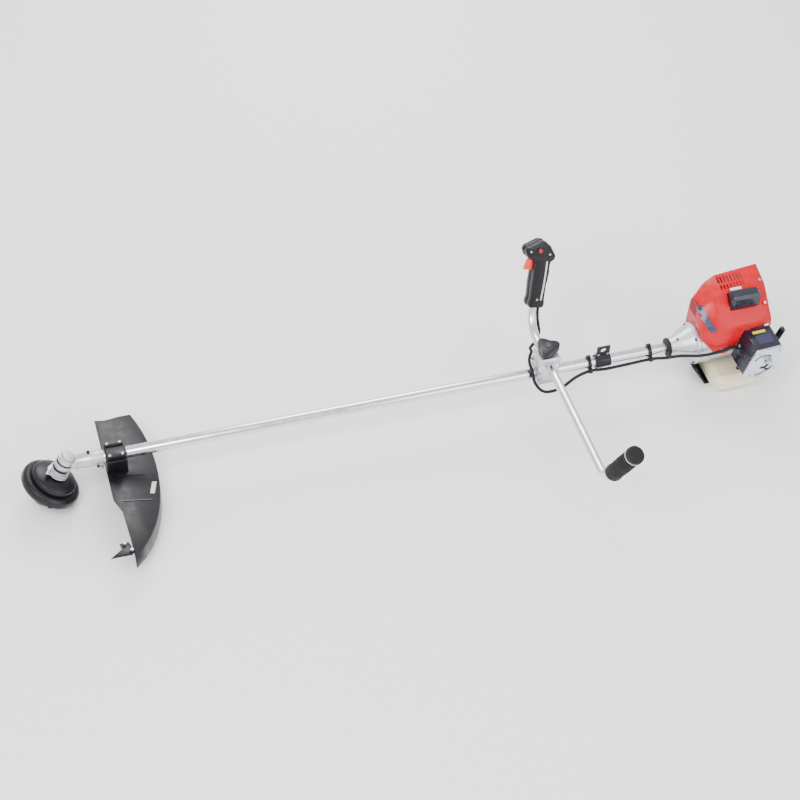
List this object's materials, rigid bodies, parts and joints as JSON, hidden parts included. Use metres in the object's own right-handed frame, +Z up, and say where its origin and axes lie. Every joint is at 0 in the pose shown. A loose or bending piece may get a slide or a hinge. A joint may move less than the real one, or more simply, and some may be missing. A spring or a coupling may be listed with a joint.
{
  "type": "brush cutter",
  "caption": "Two-stroke brush cutter: engine, straight drive tube, swept handlebar with throttle grip, guard and bump-feed line head.",
  "frame": {"origin": "on the ground under the engine, at the flat bottom of the stand, in line with the drive tube", "axes": "+X along the drive tube from the line head to the engine, +Z up, -Y towards the operator's left"},
  "size_m": [1.9273, 0.7094, 0.3729],
  "materials": {
    "drive_tube": "polished tube",
    "handlebar": "polished tube",
    "gear_case": "cast, satin",
    "gear_case_cap": "cast, satin",
    "gear_case_flange": "cast, satin",
    "holder_flange": "cast, satin",
    "guard_saddle": "cast, satin",
    "handle_clamp_base": "cast, satin",
    "handle_clamp_cap": "cast, satin",
    "clutch_housing": "cast, satin",
    "crankcase": "cast, satin",
    "cylinder": "cast, satin",
    "piston": "cast, satin",
    "flywheel": "cast, satin",
    "carburettor": "cast, satin",
    "air_cleaner_plate": "cast, satin",
    "drive_shaft": "machined",
    "bevel_pinion": "machined",
    "bevel_gear": "machined",
    "output_shaft": "machined",
    "output_bearing": "machined",
    "gear_clamp_bolt": "machined",
    "guard_strap": "machined",
    "line_cutter": "machined",
    "clutch_drum": "machined",
    "clutch_shoe_1": "machined",
    "clutch_shoe_2": "machined",
    "crankshaft": "machined",
    "spark_plug": "machined",
    "muffler": "pressed, heat-darkened",
    "head_cover": "moulded black",
    "head_case": "moulded black",
    "line_spool": "moulded black",
    "bump_knob": "moulded black",
    "guard": "moulded black",
    "clamp_knob": "moulded black",
    "throttle_grip_left": "moulded black",
    "throttle_grip_right": "moulded black",
    "plug_cap": "moulded black",
    "cable_clip_1": "moulded black",
    "cable_clip_2": "moulded black",
    "hanger": "moulded black",
    "air_cleaner_cover": "moulded black",
    "air_cleaner_base": "moulded black",
    "starter_housing": "moulded black",
    "starter_handle": "moulded black",
    "fuel_cap": "moulded black",
    "tank_guard": "moulded black",
    "engine_hood": "glossy red",
    "safety_lever": "glossy red",
    "stop_switch": "glossy red",
    "throttle_trigger": "orange",
    "fuel_tank": "translucent cream",
    "choke_lever": "grey",
    "shaft_bush_1": "black rubber",
    "shaft_bush_2": "black rubber",
    "rubber_ring": "black rubber",
    "left_grip": "black rubber",
    "throttle_cable_upper": "black rubber",
    "throttle_cable_lower": "black rubber"
  },
  "bodies": {
    "frame": {"drive_tube": "drive_tube", "gear_case": "gear_case", "gear_case_cap": "gear_case_cap", "gear_case_flange": "gear_case_flange", "guard_saddle": "guard_saddle", "handle_clamp_base": "handle_clamp_base", "handle_clamp_cap": "handle_clamp_cap", "clutch_housing": "clutch_housing", "crankcase": "crankcase", "cylinder": "cylinder", "piston": "piston", "carburettor": "carburettor", "air_cleaner_plate": "air_cleaner_plate", "output_bearing": "output_bearing", "gear_clamp_bolt": "gear_clamp_bolt", "guard_strap": "guard_strap", "line_cutter": "line_cutter", "spark_plug": "spark_plug", "muffler": "muffler", "guard": "guard", "plug_cap": "plug_cap", "cable_clip_1": "cable_clip_1", "cable_clip_2": "cable_clip_2", "hanger": "hanger", "air_cleaner_cover": "air_cleaner_cover", "air_cleaner_base": "air_cleaner_base", "starter_housing": "starter_housing", "tank_guard": "tank_guard", "engine_hood": "engine_hood", "fuel_tank": "fuel_tank", "shaft_bush_1": "shaft_bush_1", "shaft_bush_2": "shaft_bush_2", "rubber_ring": "rubber_ring", "throttle_cable_lower": "throttle_cable_lower"},
    "head": {"bevel_gear": "bevel_gear", "output_shaft": "output_shaft", "holder_flange": "holder_flange", "head_cover": "head_cover", "head_case": "head_case", "line_spool": "line_spool"},
    "bump": {"bump_knob": "bump_knob"},
    "drive": {"drive_shaft": "drive_shaft", "bevel_pinion": "bevel_pinion", "clutch_drum": "clutch_drum"},
    "crank": {"crankshaft": "crankshaft", "flywheel": "flywheel", "clutch_shoe_1": "clutch_shoe_1", "clutch_shoe_2": "clutch_shoe_2"},
    "handlebars": {"handlebar": "handlebar", "left_grip": "left_grip", "throttle_grip_left": "throttle_grip_left", "throttle_grip_right": "throttle_grip_right", "throttle_cable_upper": "throttle_cable_upper"},
    "trigger": {"throttle_trigger": "throttle_trigger"},
    "lever": {"safety_lever": "safety_lever"},
    "switch": {"stop_switch": "stop_switch"},
    "knob": {"clamp_knob": "clamp_knob"},
    "choke": {"choke_lever": "choke_lever"},
    "starter": {"starter_handle": "starter_handle"},
    "cap": {"fuel_cap": "fuel_cap"}
  },
  "joints": [
    {"name": "head_spin", "type": "hinge", "parent": "frame", "child": "head", "pos_m": [-1.679, 0, 0.118], "axis": [-0.5, 0, -0.866], "continuous": true},
    {"name": "drive_spin", "type": "hinge", "parent": "frame", "child": "drive", "pos_m": [-0.9, 0, 0.118], "axis": [1, 0, 0], "continuous": true},
    {"name": "crank_spin", "type": "hinge", "parent": "frame", "child": "crank", "pos_m": [0, 0, 0.118], "axis": [1, 0, 0], "continuous": true},
    {"name": "bump_press", "type": "slide", "parent": "head", "child": "bump", "axis": [0.5, 0, 0.866], "range_m": [0, 0.004], "stiffness_N_per_m": 6000, "springref_m": -0.004},
    {"name": "handlebar_tilt", "type": "hinge", "parent": "frame", "child": "handlebars", "pos_m": [-0.48, 0, 0.1627], "axis": [0, 1, 0], "range_deg": [-12, 12]},
    {"name": "throttle_squeeze", "type": "hinge", "parent": "handlebars", "child": "trigger", "pos_m": [-0.47568, 0.18782, 0.3259], "axis": [0.0782, -0.9233, 0.376], "range_deg": [0, 12], "stiffness_Nm_per_rad": 0.6, "springref_deg": -17.19},
    {"name": "safety_squeeze", "type": "hinge", "parent": "handlebars", "child": "lever", "pos_m": [-0.42626, 0.18878, 0.31798], "axis": [-0.0782, 0.9233, -0.376], "range_deg": [0, 3], "stiffness_Nm_per_rad": 0.6, "springref_deg": -17.19},
    {"name": "stop_press", "type": "slide", "parent": "handlebars", "child": "switch", "axis": [-0.0782, 0.9233, -0.376], "range_m": [0, 0.0025], "stiffness_N_per_m": 600, "springref_m": -0.001},
    {"name": "clamp_knob_turn", "type": "hinge", "parent": "frame", "child": "knob", "pos_m": [-0.48, 0, 0.1927], "axis": [0, 0, 1], "range_deg": [0, 360]},
    {"name": "choke_turn", "type": "hinge", "parent": "frame", "child": "choke", "pos_m": [0.076, -0.1405, 0.126], "axis": [0, 1, 0], "range_deg": [0, 45]},
    {"name": "starter_pull", "type": "slide", "parent": "frame", "child": "starter", "axis": [1, 0, 0], "range_m": [0, 0.6], "stiffness_N_per_m": 12, "springref_m": -0.25},
    {"name": "fuel_cap_turn", "type": "hinge", "parent": "frame", "child": "cap", "pos_m": [0.05, 0.08, 0.0306], "axis": [0, 1, 0], "range_deg": [0, 270]}
  ],
  "couplings": [
    {"joint": "drive_spin", "follows": "head_spin", "ratio": 1.3571}
  ]
}
